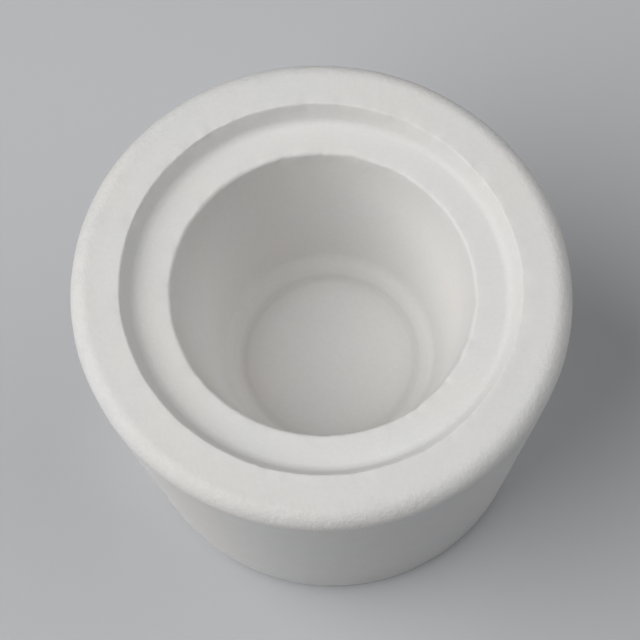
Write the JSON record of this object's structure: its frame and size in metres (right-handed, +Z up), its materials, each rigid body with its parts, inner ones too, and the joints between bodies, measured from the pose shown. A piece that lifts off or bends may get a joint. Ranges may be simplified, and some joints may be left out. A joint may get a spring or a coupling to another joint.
{
  "type": "crucible",
  "caption": "Heavy-walled tapered porcelain crucible with a flat rounded rim, a stepped lid seat and a flat-floored tapered cavity.",
  "frame": {"origin": "centre of the flat base, on the axis of symmetry", "axes": "+Z up along the axis of symmetry, out of the mouth; the body is round, so +X and +Y are any two level directions"},
  "size_m": [0.06, 0.06, 0.0435],
  "materials": {
    "porcelain": "unglazed matte porcelain with a fine pressed grain"
  },
  "bodies": {
    "root": {"crucible": "porcelain"}
  },
  "joints": []
}
